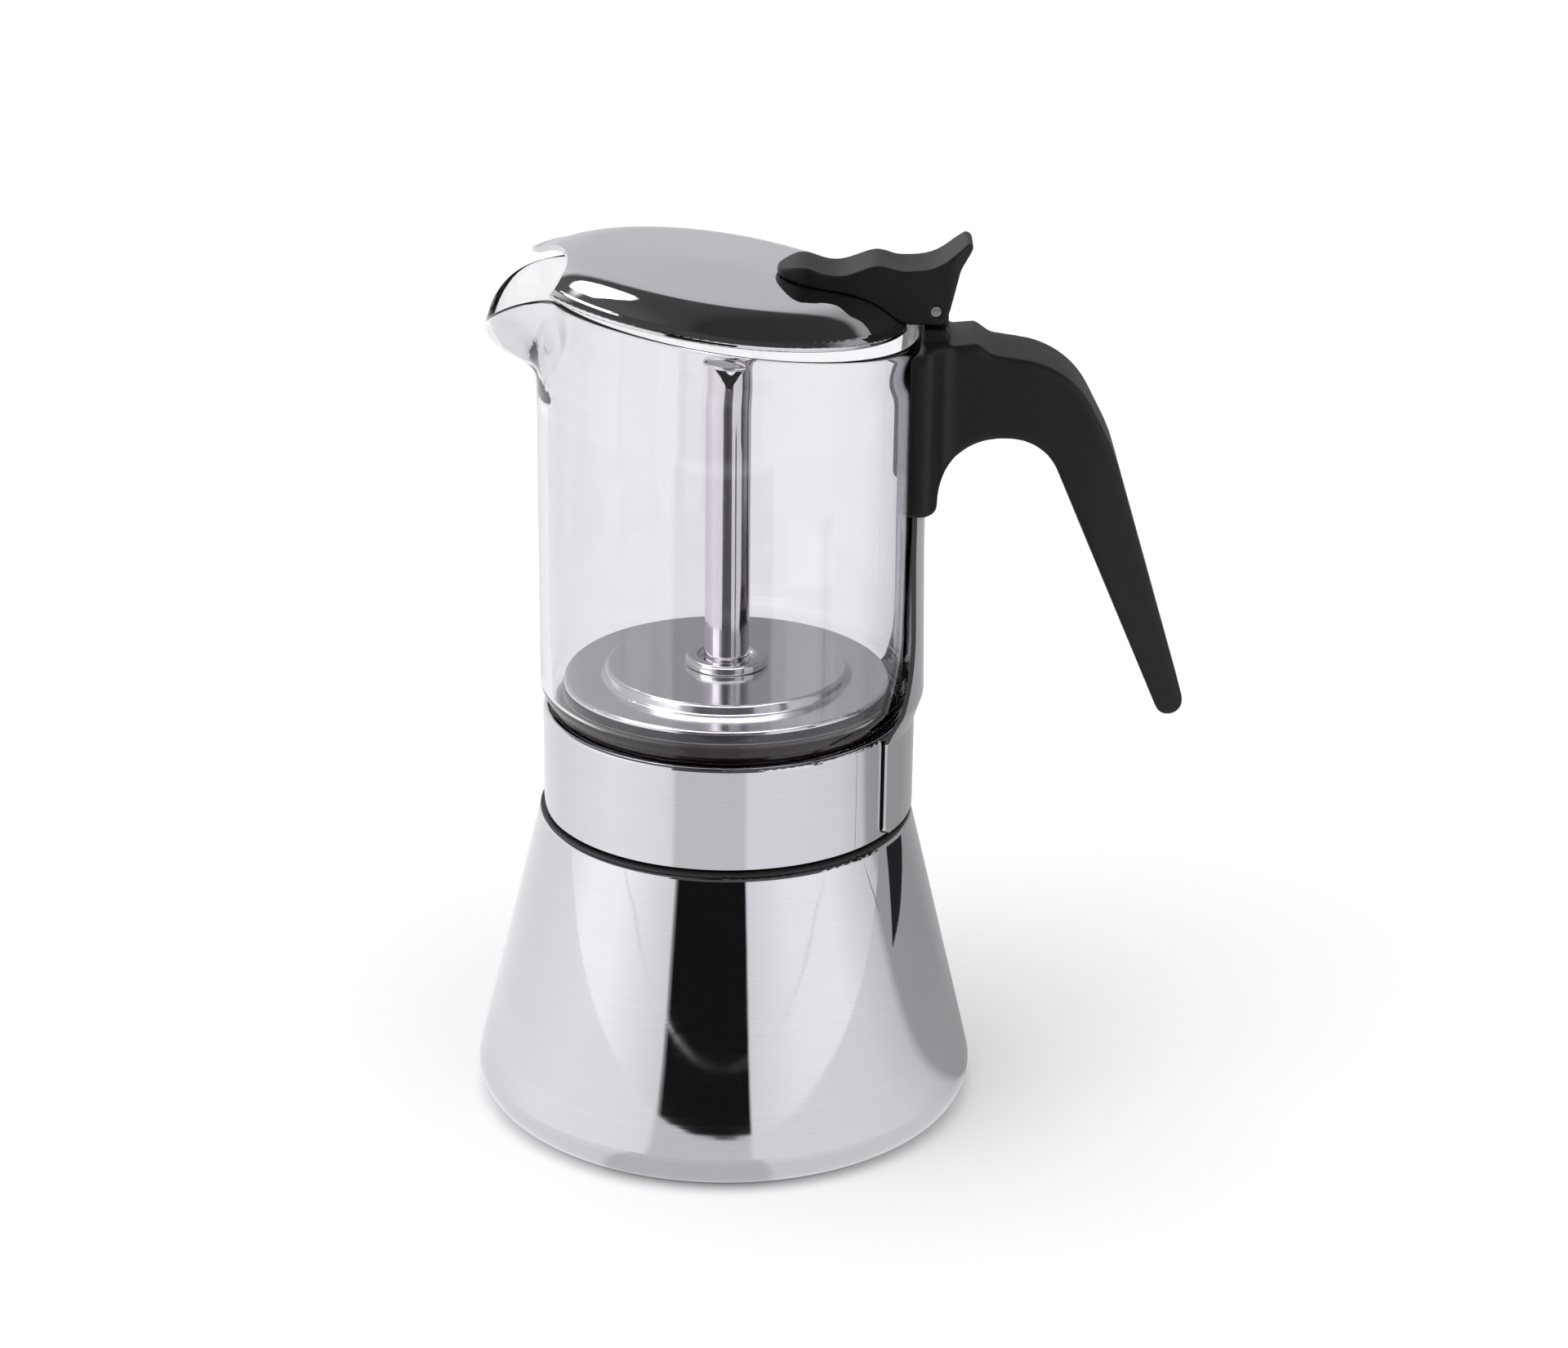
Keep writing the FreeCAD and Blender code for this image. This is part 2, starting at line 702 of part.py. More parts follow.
def handle():
    side = side_prism(HANDLE_SIDE, PAD_HALF)
    mirrored = [(x, -y, *rest) for x, y, *rest in reversed(HANDLE_PLAN)]
    plan = plan_prism(HANDLE_PLAN + mirrored, 80, 166)
    grip = side.common(plan)
    grip = grip.makeFillet(GRIP_EDGE_R, flank_edges(grip))

    # the hinge post narrows to a tongue round the pin, and its foot is no wider than the lid's knob
    trim = side_prism([(30.0, 162.4), (42.79, 162.4), (42.79, 170.0), (30.0, 170.0)], 20)
    keep = side_prism([(30.0, 160.0), (45.0, 160.0), (45.0, 171.0), (30.0, 171.0)], KNOB_HALF)
    grip = grip.cut(trim.cut(keep))
    tongue = side_prism([
        (PIN_X - TONGUE_R, POST_TOP - 1.0),
        (PIN_X + TONGUE_R, POST_TOP - 1.0),
        (PIN_X + TONGUE_R, PIN_Z + TONGUE_R, TONGUE_R - 0.01),
        (PIN_X - TONGUE_R, PIN_Z + TONGUE_R, TONGUE_R - 0.01),
    ], TONGUE_HALF)
    grip = grip.fuse(tongue)

    # hollows: the jug, the strap's pocket, the hinge pin and the screws
    grip = grip.cut(Part.makeCylinder(HANDLE_FACE_R, 60, Vec(0, 0, 120)))
    pocket_band = ring(HANDLE_FACE_R - 1.0, STRAP_HIGH_R + STRAP_T + POCKET_GAP, 120, STRAP_Z1 + POCKET_GAP)
    half_width = STRAP_NARROW + POCKET_GAP
    pocket_front = Part.makeBox(60, 2 * half_width, 60, Vec(20, -half_width, 110))
    grip = grip.cut(pocket_band.common(pocket_front))
    grip = grip.cut(rod(PIN_R + 0.01, Vec(PIN_X, -20, PIN_Z), Vec(PIN_X, 20, PIN_Z)))
    for z in HANDLE_SCREW_Z:
        grip = grip.cut(screw_sink(z, 0.05))
    return grip.removeSplitter()


def hinge_pin():
    return rod(PIN_R, Vec(PIN_X, -KNOB_HALF - 0.15, PIN_Z), Vec(PIN_X, KNOB_HALF + 0.15, PIN_Z))


# ---- lid ----
def dome_outline(lift):
    """(r, z) corners of the lid's top surface, moved up by lift."""
    return [
        (LID_R, LID_EDGE_T + lift, 0.3),
        (LID_FLANGE_R, LID_EDGE_T + LID_FLANGE_DROP + lift, 2.0),
        (LID_DOME_R, LID_RISE - LID_CROWN + lift, LID_SHOULDER_R),
        (0, LID_RISE + lift),
    ]


def lid_envelope(lift):
    """Everything under the lid's top surface."""
    return place_lid(revolved([(0, -12), (LID_R, -12)] + dome_outline(lift)))


def lid_hole(x, radius):
    return Part.makeCylinder(radius, 20, Vec(x, 0, -8))


def lid_shell():
    sheet = revolved([
        (0, LID_RISE - SHEET),
        (LID_DOME_R - 0.2, LID_RISE - LID_CROWN - SHEET, LID_SHOULDER_R - SHEET),
        (LID_FLANGE_R - 0.5, LID_FLANGE_DROP, 2.6),
        (LID_R, 0, 0.3),
    ] + dome_outline(0))
    notch = Part.makeCylinder(NOTCH_R, 20, Vec(-NOTCH_DEPTH - NOTCH_R, 0, -8))
    notch.rotate(ORIGIN, AXIS_Z, NOTCH_TURN)
    flat = Part.makeBox(20, 16.6, 20, Vec(LID_HINGE_X, -8.3, -8))
    sheet = sheet.cut(notch).cut(flat)
    for x in LID_SCREW_X:
        sheet = sheet.cut(lid_hole(x, SCREW_R + 0.1))
    return place_lid(sheet)


def knob_plan(z0, z1):
    """Plan outline of the knob: round at the front, straight cheeks."""
    nose_r = KNOB_HALF - 0.3
    outline = [
        (KNOB_FRONT, -KNOB_HALF, nose_r),
        (KNOB_TAIL, -KNOB_HALF, KNOB_TAIL_R),
        (KNOB_TAIL, KNOB_HALF, KNOB_TAIL_R),
        (KNOB_FRONT, KNOB_HALF, nose_r),
    ]
    return plan_prism(outline, z0, z1)


def knob():
    """Thumb lever, seated on the dome of the lid, with two cheeks round the hinge tongue."""
    body = side_prism(KNOB_SIDE, 12).common(knob_plan(155, 190)).cut(lid_envelope(0.05))
    slot_half = TONGUE_HALF + TONGUE_GAP
    slot = side_prism([
        (PIN_X - TONGUE_R - 0.6, 160.0),
        (60.0, 160.0),
        (60.0, PIN_Z + TONGUE_R + 0.6),
        (PIN_X - TONGUE_R - 0.6, PIN_Z + TONGUE_R + 0.6, 2.4),
    ], slot_half)
    body = body.cut(slot)
    body = body.cut(rod(PIN_R + PIN_RUN, Vec(PIN_X, -20, PIN_Z), Vec(PIN_X, 20, PIN_Z)))
    for x in LID_SCREW_X:
        body = body.cut(place_lid(Part.makeCylinder(SCREW_R + 0.05, LID_SCREW_END + 0.05, Vec(x, 0, 0))))
    return body


def knob_screws():
    """Two pan-head screws driven up through the lid into the knob."""
    screws = []
    for x, drop in zip(LID_SCREW_X, LID_SCREW_DROP):
        seat_z = LID_RISE - SHEET - drop
        head = Part.makeCylinder(SCREW_HEAD_R, SCREW_HEAD_T, Vec(x, 0, seat_z - SCREW_HEAD_T))
        shank = Part.makeCylinder(SCREW_R, LID_SCREW_END - seat_z, Vec(x, 0, seat_z))
        slot = Part.makeBox(4.0, 0.7, 0.7, Vec(x - 2.0, -0.35, seat_z - SCREW_HEAD_T))
        screws.append(place_lid(head.fuse(shank).cut(slot)))
    return Part.makeCompound(screws)


PIECES = (
    boiler_shell, neck_ring, funnel, funnel_stem, funnel_sieve,
    valve_seal, valve_body, valve_nut, valve_plunger, valve_spring,
    gasket, filter_plate,
    collar, deck, glass_seal_lower, glass_jug, glass_seal_upper, clamp_plate, column_tube, column_nut,
    strap, handle, handle_screws, hinge_pin,
    lid_shell, knob, knob_screws,
)


def main():
    os.makedirs(OUT, exist_ok=True)
    for piece in PIECES:
        shape = piece()
        name = piece.__name__
        shape.exportStep(os.path.join(OUT, name + ".step"))
        box = shape.optimalBoundingBox(False)
        low = tuple(round(v, 2) for v in (box.XMin, box.YMin, box.ZMin))
        high = tuple(round(v, 2) for v in (box.XMax, box.YMax, box.ZMax))
        print(name, len(shape.Solids), shape.isValid(), round(shape.Volume, 1), low, high)


main()
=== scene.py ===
import math

import bpy
from mathutils import Euler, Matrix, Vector


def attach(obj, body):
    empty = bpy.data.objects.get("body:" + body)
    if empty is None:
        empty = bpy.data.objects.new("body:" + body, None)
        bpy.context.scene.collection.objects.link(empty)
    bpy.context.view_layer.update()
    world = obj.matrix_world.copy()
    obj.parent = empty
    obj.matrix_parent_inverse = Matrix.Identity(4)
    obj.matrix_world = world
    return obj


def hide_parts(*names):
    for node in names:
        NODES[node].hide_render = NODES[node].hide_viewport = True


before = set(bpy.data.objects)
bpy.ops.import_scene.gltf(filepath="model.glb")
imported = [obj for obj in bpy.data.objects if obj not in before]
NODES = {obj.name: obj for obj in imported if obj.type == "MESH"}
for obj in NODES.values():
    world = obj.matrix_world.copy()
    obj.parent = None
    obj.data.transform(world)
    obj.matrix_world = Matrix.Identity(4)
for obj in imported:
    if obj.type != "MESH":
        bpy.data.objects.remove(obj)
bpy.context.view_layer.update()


# ---------------------------------------------------------------- node helpers
class Tree:
    """Small builder for a material's or world's node tree."""

    def __init__(self, tree):
        self.tree = tree
        self.nodes = tree.nodes
        self.links = tree.links

    def node(self, kind, **settings):
        made = self.nodes.new(kind)
        for key, value in settings.items():
            setattr(made, key, value)
        return made

    def feed(self, socket, value):
        if isinstance(value, bpy.types.NodeSocket):
            self.links.new(value, socket)
        else:
            socket.default_value = value

    def math(self, operation, a, b=0.0):
        made = self.node("ShaderNodeMath", operation=operation)
        self.feed(made.inputs[0], a)
        self.feed(made.inputs[1], b)
        return made.outputs[0]

    def split(self, vector):
        made = self.node("ShaderNodeSeparateXYZ")
        self.feed(made.inputs[0], vector)
        return made.outputs

    def join(self, x, y, z):
        made = self.node("ShaderNodeCombineXYZ")
        for socket, value in zip(made.inputs, (x, y, z)):
            self.feed(socket, value)
        return made.outputs[0]

    def scaled(self, vector, scale):
        made = self.node("ShaderNodeVectorMath", operation="MULTIPLY")
        self.feed(made.inputs[0], vector)
        made.inputs[1].default_value = scale
        return made.outputs[0]

    def noise(self, vector, scale=1.0, detail=2.0, roughness=0.5):
        made = self.node("ShaderNodeTexNoise")
        self.feed(made.inputs["Vector"], vector)
        made.inputs["Scale"].default_value = scale
        made.inputs["Detail"].default_value = detail
        made.inputs["Roughness"].default_value = roughness
        return made.outputs["Fac"]

    def remap(self, value, a, b, low, high, smooth=False):
        made = self.node("ShaderNodeMapRange", interpolation_type="SMOOTHSTEP" if smooth else "LINEAR")
        self.feed(made.inputs["Value"], value)
        for name, number in (("From Min", a), ("From Max", b), ("To Min", low), ("To Max", high)):
            self.feed(made.inputs[name], number)
        return made.outputs["Result"]

    def ramp(self, value, stops):
        made = self.node("ShaderNodeValToRGB")
        elements = made.color_ramp.elements
        while len(elements) < len(stops):
            elements.new(0.5)
        for element, (place, colour) in zip(elements, stops):
            element.position = place
            element.color = (*colour, 1.0)
        self.feed(made.inputs[0], value)
        return made.outputs["Color"]

    def mix(self, share, a, b):
        made = self.node("ShaderNodeMix", data_type="RGBA")
        self.feed(made.inputs[0], share)
        self.feed(made.inputs[6], a if isinstance(a, bpy.types.NodeSocket) else (*a, 1.0))
        self.feed(made.inputs[7], b if isinstance(b, bpy.types.NodeSocket) else (*b, 1.0))
        return made.outputs[2]

    def bump(self, height, distance, strength):
        made = self.node("ShaderNodeBump")
        self.feed(made.inputs["Height"], height)
        made.inputs["Distance"].default_value = distance
        made.inputs["Strength"].default_value = strength
        return made.outputs["Normal"]


def new_material(name):
    made = bpy.data.materials.new(name)
    made.use_nodes = True
    tree = Tree(made.node_tree)
    shader = tree.nodes["Principled BSDF"]
    place = tree.node("ShaderNodeTexCoord").outputs["Object"]
    return made, tree, shader, place


# ---------------------------------------------------------------- materials
def grain_vector(tree, place, run, fine):
    """Coordinates that vary quickly across the polishing lines and slowly along them."""
    if run == "around":
        return tree.scaled(place, (9.0, 9.0, fine))
    if run == "rings":
        x, y, _ = tree.split(place)
        flat = tree.node("ShaderNodeVectorMath", operation="LENGTH")
        tree.feed(flat.inputs[0], tree.join(x, y, 0.0))
        return tree.scaled(tree.join(flat.outputs["Value"], x, y), (fine, 6.0, 6.0))
    return tree.scaled(place, (fine, fine, 9.0))


def steel(name, colour, rough, spread, run, fine=2600.0, depth=0.0000015, smudge=0.03):
    made, tree, shader, place = new_material(name)
    lines = tree.noise(grain_vector(tree, place, run, fine), 1.0, 3.0, 0.6)
    cloud = tree.noise(place, 42.0, 4.0, 0.62)
    wipe = tree.noise(tree.scaled(place, (90.0, 90.0, 35.0)), 1.0, 2.0, 0.5)
    base = tree.remap(lines, 0.3, 0.7, rough, rough + spread)
    haze = tree.remap(cloud, 0.45, 0.72, 0.0, smudge, smooth=True)
    streak = tree.remap(wipe, 0.55, 0.8, 0.0, smudge * 0.6, smooth=True)
    tree.feed(shader.inputs["Roughness"], tree.math("ADD", tree.math("ADD", base, haze), streak))
    dim = tuple(c * 0.955 for c in colour)
    tone = tree.math("ADD", tree.math("MULTIPLY", lines, 0.6), tree.math("MULTIPLY", cloud, 0.4))
    tree.feed(shader.inputs["Base Color"], tree.mix(tree.remap(tone, 0.35, 0.65, 0.0, 1.0), colour, dim))
    shader.inputs["Metallic"].default_value = 1.0
    tree.feed(shader.inputs["Normal"], tree.bump(lines, depth, 0.6))
    return made


def plastic(name):
    made, tree, shader, place = new_material(name)
    fine = tree.noise(place, 5200.0, 2.0, 0.6)
    broad = tree.noise(place, 900.0, 3.0, 0.55)
    cloud = tree.noise(place, 45.0, 3.0, 0.5)
    height = tree.math("ADD", tree.math("MULTIPLY", fine, 0.6), tree.math("MULTIPLY", broad, 0.4))
    tree.feed(shader.inputs["Normal"], tree.bump(height, 0.00006, 0.55))
    tree.feed(shader.inputs["Roughness"], tree.remap(cloud, 0.3, 0.7, 0.42, 0.52))
    black, charcoal = (0.0050, 0.0050, 0.0056), (0.0085, 0.0083, 0.0090)
    tree.feed(shader.inputs["Base Color"], tree.mix(broad, black, charcoal))
    shader.inputs["Specular IOR Level"].default_value = 0.30
    return made


def rubber(name, low, high, rough, weight=0.0):
    made, tree, shader, place = new_material(name)
    broad = tree.noise(place, 160.0, 4.0, 0.55)
    fine = tree.noise(place, 3200.0, 2.0, 0.5)
    tree.feed(shader.inputs["Base Color"], tree.mix(broad, low, high))
    tree.feed(shader.inputs["Roughness"], tree.remap(broad, 0.3, 0.7, rough, rough + 0.12))
    tree.feed(shader.inputs["Normal"], tree.bump(fine, 0.00003, 0.35))
    shader.inputs["Subsurface Weight"].default_value = weight
    return made


def banded_rubber(name, z_line):
    """Seal dark grey above a line and dark red below it, with a painted highlight: a thin pale line along the
    lip between them.
    """
    made, tree, shader, place = new_material(name)
    broad = tree.noise(place, 160.0, 4.0, 0.55)
    x, y, z = tree.split(place)
    upper = tree.remap(z, z_line - 0.0001, z_line + 0.0001, 0.0, 1.0)
    off = tree.math("ABSOLUTE", tree.math("SUBTRACT", z, z_line))
    # painted highlight: a thin pale line where the seal's lip catches the light
    lip = tree.remap(off, 0.00008, 0.0002, 1.0, 0.0)
    red = tree.mix(broad, (0.016, 0.002, 0.004), (0.024, 0.003, 0.006))
    grey = tree.mix(broad, (0.030, 0.029, 0.031), (0.040, 0.039, 0.042))
    tree.feed(shader.inputs["Base Color"], tree.mix(lip, tree.mix(upper, red, grey), (0.42, 0.41, 0.43)))
    tree.feed(shader.inputs["Roughness"], tree.remap(broad, 0.3, 0.7, 0.2, 0.3))
    shader.inputs["Specular IOR Level"].default_value = 0.12
    return made


def clear_glass(name):
    made, tree, shader, place = new_material(name)
    wave = tree.noise(tree.scaled(place, (26.0, 26.0, 11.0)), 1.0, 1.0, 0.4)
    film = tree.noise(place, 70.0, 4.0, 0.6)
    tree.feed(shader.inputs["Base Color"], tree.mix(film, (0.868, 0.864, 0.884), (0.882, 0.878, 0.896)))
    tree.feed(shader.inputs["Roughness"], tree.remap(film, 0.5, 0.8, 0.0, 0.012))
    tree.feed(shader.inputs["Normal"], tree.bump(wave, 0.00004, 0.35))
    shader.inputs["Transmission Weight"].default_value = 1.0
    shader.inputs["IOR"].default_value = 1.47
    return made


STEEL = (0.64, 0.635, 0.655)
MATERIALS = {
    "boiler_steel": steel("boiler_steel", STEEL, 0.018, 0.014, "around", depth=0.0000006, smudge=0.02),
    "collar_steel": steel("collar_steel", STEEL, 0.035, 0.03, "around", depth=0.0000007, smudge=0.03),
    "lid_steel": steel("lid_steel", STEEL, 0.02, 0.02, "rings", depth=0.0000006, smudge=0.02),
    "inner_steel": steel("inner_steel", (0.66, 0.65, 0.665), 0.12, 0.08, "rings", smudge=0.05),
    "plate_steel": steel("plate_steel", (0.93, 0.92, 0.94), 0.10, 0.08, "rings", smudge=0.04),
    "tube_steel": steel("tube_steel", (0.87, 0.84, 0.86), 0.06, 0.07, "along", smudge=0.04),
    "pin_steel": steel("pin_steel", (0.72, 0.72, 0.73), 0.2, 0.1, "around", smudge=0.04),
    "glass": clear_glass("glass"),
    "handle_plastic": plastic("handle_plastic"),
    "seal_red": rubber("seal_red", (0.030, 0.004, 0.007), (0.045, 0.006, 0.010), 0.22, 0.03),
    "seal_banded": banded_rubber("seal_banded", 0.0886),
    # painted shade: the neck ring is made black so that the shaded gap between collar and boiler reads black
    "seal_black": rubber("seal_black", (0.008, 0.008, 0.009), (0.014, 0.014, 0.015), 0.4),
    "gasket_silicone": rubber("gasket_silicone", (0.62, 0.60, 0.56), (0.72, 0.70, 0.66), 0.45, 0.1),
    "brass": steel("brass", (0.72, 0.53, 0.27), 0.16, 0.12, "around", smudge=0.08),
}
NODE_SLOTS = {
    "boiler_shell": "boiler_steel",
    # painted shade: black on the neck ring stands in for the shade in the gap under the collar
    "neck_ring": "seal_black",
    "funnel": "inner_steel",
    "funnel_stem": "inner_steel",
    "funnel_sieve": "inner_steel",
    "valve_seal": "seal_red",
    "valve_body": "brass",
    "valve_nut": "brass",
    "valve_plunger": "brass",
    "valve_spring": "pin_steel",
    "gasket": "gasket_silicone",
    "filter_plate": "inner_steel",
    "collar": "collar_steel",
    "deck": "inner_steel",
    "glass_seal_lower": "seal_red",
    "glass_jug": "glass",
    "glass_seal_upper": "seal_banded",
    "clamp_plate": "plate_steel",
    "column_tube": "tube_steel",
    "column_nut": "plate_steel",
    "strap": "collar_steel",
    "handle": "handle_plastic",
    "handle_screws": "pin_steel",
    "hinge_pin": "pin_steel",
    "lid_shell": "lid_steel",
    "knob": "handle_plastic",
    "knob_screws": "pin_steel",
}


def dress(obj, slot):
    obj.data.materials.clear()
    obj.data.materials.append(MATERIALS[slot])


for name, slot in NODE_SLOTS.items():
    dress(NODES[name], slot)


# ---------------------------------------------------------------- moulded edges on the plastic parts
def soften(name, voxel, passes, swell):
    """Rounds a moulded part's edges: an even mesh over the CAD shape, smoothed, then swelled back to size."""
    obj = NODES[name]
    weld = obj.modifiers.new("weld", "WELD")
    weld.merge_threshold = 0.000002
    even = obj.modifiers.new("even", "REMESH")
    even.mode = "VOXEL"
    even.voxel_size = voxel
    even.use_smooth_shade = True
    smooth = obj.modifiers.new("smooth", "SMOOTH")
    smooth.factor = 0.5
    smooth.iterations = passes
    grow = obj.modifiers.new("grow", "DISPLACE")
    grow.mid_level = 0.0
    grow.strength = swell


soften("handle", 0.00042, 16, 0.00006)
soften("knob", 0.00024, 14, 0.00004)


# ---------------------------------------------------------------- blown glass jug
MM = 0.001
GLASS_R, GLASS_WALL, RIM_WALL = 37.6, 2.0, 1.3
FOOT_R, FOOT_Z, FOOT_TOP, HOLE_R = 35.6, 82.2, 84.4, 26.5
# the spout juts out of the wall as a blunt rounded box: height, reach of its nose, half-width
SPOUT_ROOT = 33.0
SPOUT_FOOT = 151.0
SPOUT = (
    (151.0, 34.4, 5.0), (154.0, 35.8, 7.0), (155.6, 37.4, 9.0), (157.0, 39.6, 11.0), (158.6, 42.2, 13.0),
    (160.4, 45.0, 14.8), (162.2, 46.9, 15.9), (164.0, 47.4, 16.5), (168.0, 47.5, 17.0), (178.0, 47.6, 17.2),
)
BLEND = 3.4
RIM_Z, RIM_SLOPE = 167.75, 0.138
LIP_Z, LIP_REACH, LIP_DROP = 162.9, 14.6, 9.4


def through(rows, at):
    """Smooth curve through rows of (position, values...), read at one position."""
    if at <= rows[0][0]:
        return rows[0][1:]
    if at >= rows[-1][0]:
        return rows[-1][1:]
    k = max(i for i in range(len(rows) - 1) if rows[i][0] <= at)
    a, b = rows[k], rows[k + 1]
    before, after = rows[max(0, k - 1)], rows[min(len(rows) - 1, k + 2)]
    span = b[0] - a[0]
    t = (at - a[0]) / span
    values = []
    for n in range(1, len(a)):
        slope_a = (b[n] - before[n]) / (b[0] - before[0]) * span
        slope_b = (after[n] - a[n]) / (after[0] - a[0]) * span
        values.append((2 * t**3 - 3 * t**2 + 1) * a[n] + (t**3 - 2 * t**2 + t) * slope_a
                      + (3 * t**2 - 2 * t**3) * b[n] + (t**3 - t**2) * slope_b)
    return values


def outside_by(r, turn, round_r, nose, half):
    """How far a point lies outside the joined outline of the round wall and the spout; negative inside."""
    wall = r - round_r
    depth, side = max(nose - SPOUT_ROOT, 0.5), abs(r * math.sin(turn)) / half
    along = max(r * math.cos(turn) - SPOUT_ROOT, 0.0) / depth
    box = ((along**2.8 + side**2.8) ** (1 / 2.8) - 1) * min(depth, half)
    h = max(BLEND - abs(wall - box), 0.0) / BLEND
    return min(wall, box) - h * h * BLEND / 4


def jug_radius(turn, z, inset):
    """Radius of the jug's wall; turn is the angle from the spout."""
    round_r = GLASS_R - inset
    if z < SPOUT_FOOT or math.cos(turn) < 0.5:
        return round_r
    nose, half = through(SPOUT, z)
    fade = ease(min((z - SPOUT_FOOT) / 3.0, 1.0))
    low, high = round_r, 60.0
    for _ in range(34):
        middle = (low + high) / 2
        if outside_by(middle, turn, round_r, nose - inset, half - inset) > 0:
            high = middle
        else:
            low = middle
    return round_r + (low - round_r) * fade


def rim_height(x):
    """Slanted rim that curves down over the spout's lip."""
    slant = RIM_Z - RIM_SLOPE * x
    if x > -SPOUT_ROOT:
        return slant
    out = min((-SPOUT_ROOT - x) / LIP_REACH, 0.999)
    return LIP_Z + LIP_DROP * math.sqrt(1 - out * out)


def ease(t):
    return t * t * (3 - 2 * t)


def rim_at(turn):
    z = rim_height(-GLASS_R * math.cos(turn))
    for _ in range(24):
        z = 0.5 * z + 0.5 * rim_height(-jug_radius(turn, z, 0.0) * math.cos(turn))
    return z


def jug_profile(turn):
    """Closed section of the jug at one turn, from the hole's lower edge outwards, over the rim and back."""
    top = rim_at(turn)
    half = RIM_WALL / 2
    flare_z0, flare_z1 = 84.6, 90.2
    points = [(HOLE_R + 0.4, FOOT_Z), (30.0, FOOT_Z), (33.0, FOOT_Z), (FOOT_R - 1.0, FOOT_Z)]
    for step in range(1, 5):
        a = math.pi / 2 * step / 4
        points.append((FOOT_R - 1.0 + math.sin(a), FOOT_Z + 1.0 - math.cos(a)))
    for step in range(9):
        t = step / 8
        points.append((FOOT_R + (GLASS_R - FOOT_R) * ease(t), flare_z0 + (flare_z1 - flare_z0) * t))
    wall = [0.12, 0.24, 0.36, 0.48, 0.58, 0.66] + [0.70 + 0.3 * (i / 18) for i in range(19)]
    for t in wall:
        z = flare_z1 + (top - half - flare_z1) * t
        points.append((jug_radius(turn, z, 0.0), z))
    outer = points[-1]
    inner_r = jug_radius(turn, top - half, RIM_WALL)
    middle, width = (outer[0] + inner_r) / 2, (outer[0] - inner_r) / 2
    for step in range(1, 8):
        a = math.pi * step / 8
        points.append((middle + width * math.cos(a), top - half + half * math.sin(a)))
    for t in reversed(wall):
        z = flare_z1 + (top - half - flare_z1) * t
        thin = (GLASS_WALL - RIM_WALL) * ease(max(t - 0.88, 0.0) / 0.12)
        points.append((jug_radius(turn, z, GLASS_WALL - thin), z))
    for step in range(8, -1, -1):
        t = step / 8
        inner = FOOT_R - GLASS_WALL + 0.3 + (GLASS_R - FOOT_R - 0.3) * ease(t)
        points.append((inner, FOOT_TOP + 1.6 + (flare_z1 - FOOT_TOP - 1.6) * t))
    corner_r = FOOT_R - GLASS_WALL + 0.3
    for step in range(1, 5):
        a = math.pi / 2 * step / 4
        points.append((corner_r - 1.6 + 1.6 * math.cos(a), FOOT_TOP + 1.6 - 1.6 * math.sin(a)))
    points += [(30.0, FOOT_TOP), (HOLE_R + 0.4, FOOT_TOP), (HOLE_R, FOOT_TOP - 0.4), (HOLE_R, FOOT_Z + 0.4)]
    return points


def ring_mesh(name, sections):
    """Closed ring of closed sections, each a list of 3-D points in millimetres."""
    count, size = len(sections), len(sections[0])
    mesh = bpy.data.meshes.new(name)
    verts = [(x * MM, y * MM, z * MM) for section in sections for x, y, z in section]
    faces = []
    for i in range(count):
        j = (i + 1) % count
        for k in range(size):
            m = (k + 1) % size
            faces.append((i * size + k, j * size + k, j * size + m, i * size + m))
    mesh.from_pydata(verts, [], faces)
    mesh.shade_smooth()
    made = bpy.data.objects.new(name, mesh)
    bpy.context.scene.collection.objects.link(made)
    return made


def blown_jug():
    """The jug as one blown shell, in place of its CAD piece."""
    sections = []
    steps = 288
    for i in range(steps):
        # more sections round the spout, where the wall bends most
        share = i / steps * 2 - 1
        turn = math.pi * (0.55 * share + 0.45 * share**3)
        sections.append([(-r * math.cos(turn), -r * math.sin(turn), z) for r, z in jug_profile(turn)])
    made = ring_mesh("jug_glass", sections)
    made.data.materials.append(MATERIALS["glass"])
    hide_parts("glass_jug")
    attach(made, "server")


blown_jug()


# ---------------------------------------------------------------- studio
def stage_plane(name, corners, material):
    mesh = bpy.data.meshes.new(name)
    mesh.from_pydata(corners, [], [tuple(range(len(corners)))])
    made = bpy.data.objects.new(name, mesh)
    bpy.context.scene.collection.objects.link(made)
    mesh.materials.append(material)
    return made


def only_in_reflections(obj):
    obj.visible_diffuse = False
    obj.visible_shadow = False


def matt(name, low, high):
    made, tree, shader, place = new_material(name)
    tree.feed(shader.inputs["Base Color"], tree.mix(tree.noise(place, 9.0, 4.0), low, high))
    shader.inputs["Roughness"].default_value = 0.9
    shader.inputs["Specular IOR Level"].default_value = 0.1
    return made


def reflected_card(name):
    """Material of a studio card that shows only in reflections, with its tree and its colour socket."""
    made = bpy.data.materials.new(name)
    made.use_nodes = True
    tree = Tree(made.node_tree)
    tree.nodes.clear()
    emitter = tree.node("ShaderNodeEmission")
    emitter.inputs["Strength"].default_value = 2.0
    bounced = tree.math("GREATER_THAN", tree.node("ShaderNodeLightPath").outputs["Glossy Depth"], 0.5)
    switch = tree.node("ShaderNodeMixShader")
    tree.feed(switch.inputs[0], bounced)
    tree.links.new(tree.node("ShaderNodeBsdfTransparent").outputs[0], switch.inputs[1])
    tree.links.new(emitter.outputs[0], switch.inputs[2])
    tree.links.new(switch.outputs[0], tree.node("ShaderNodeOutputMaterial").inputs[0])
    return made, tree, emitter.inputs["Color"]


